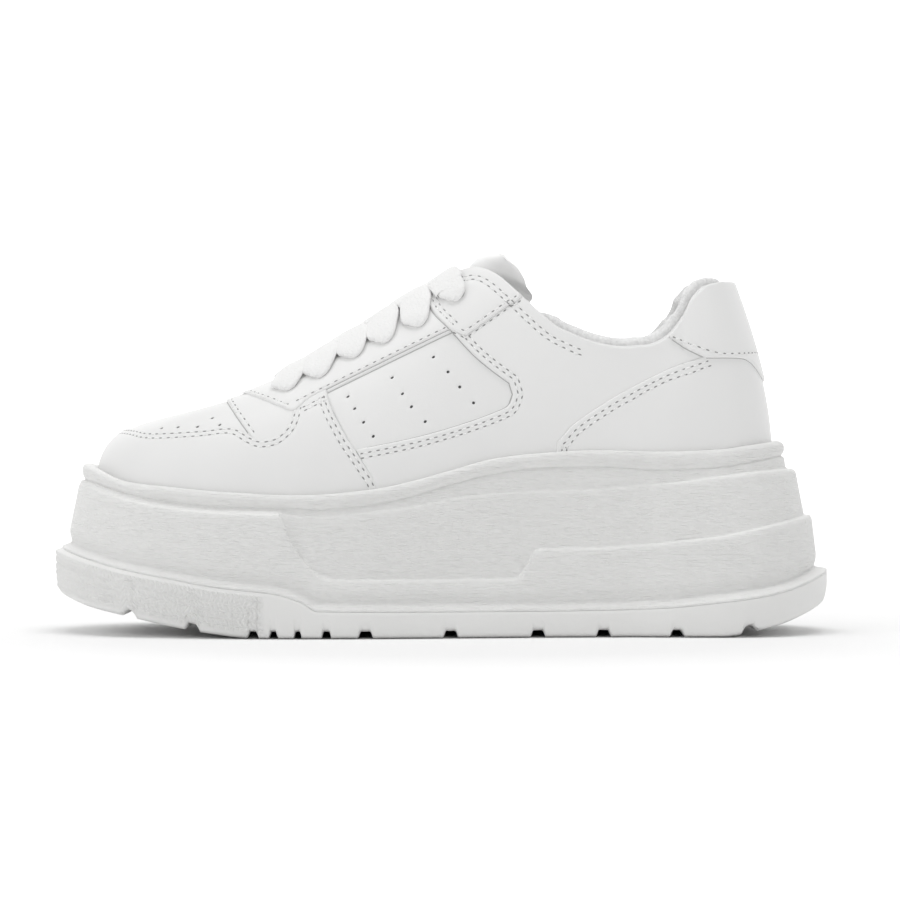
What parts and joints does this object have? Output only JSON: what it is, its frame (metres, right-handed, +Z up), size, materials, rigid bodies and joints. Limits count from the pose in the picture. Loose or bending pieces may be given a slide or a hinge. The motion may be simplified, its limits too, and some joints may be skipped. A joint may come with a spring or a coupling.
{
  "type": "platform sneaker",
  "caption": "Low-top lace-up platform sneaker, left shoe, with a thick stepped sole, leather overlays and a padded collar.",
  "frame": {"origin": "bottom centre of the shoe's box, on the ground under the arch", "axes": "+X from the toe to the heel, +Y to the inner side of the foot, +Z up"},
  "size_m": [0.2844, 0.1102, 0.1393],
  "materials": {
    "outsole_rubber": "matt moulded white rubber",
    "midsole_foam": "matt moulded white foam",
    "sock_fabric": "white textile sock",
    "upper_leather": "smooth white leather",
    "overlay_leather": "smooth white leather",
    "lining_fabric": "white ribbed mesh",
    "lace_cotton": "white flat woven lace"
  },
  "bodies": {
    "root": {"outsole": "outsole_rubber", "midsole": "midsole_foam", "insole": "sock_fabric", "upper": "upper_leather", "toe_guard": "overlay_leather", "saddle": "overlay_leather", "eyestay": "overlay_leather", "facing_outer": "overlay_leather", "facing_inner": "overlay_leather", "quarter_outer": "overlay_leather", "quarter_inner": "overlay_leather", "heel_counter": "overlay_leather", "heel_tab": "overlay_leather", "collar_padding": "lining_fabric", "tongue": "upper_leather", "lace_bar_1": "lace_cotton", "lace_crossing_2": "lace_cotton", "lace_crossing_3": "lace_cotton", "lace_crossing_4": "lace_cotton", "lace_crossing_5": "lace_cotton", "lace_crossing_6": "lace_cotton"}
  },
  "joints": []
}
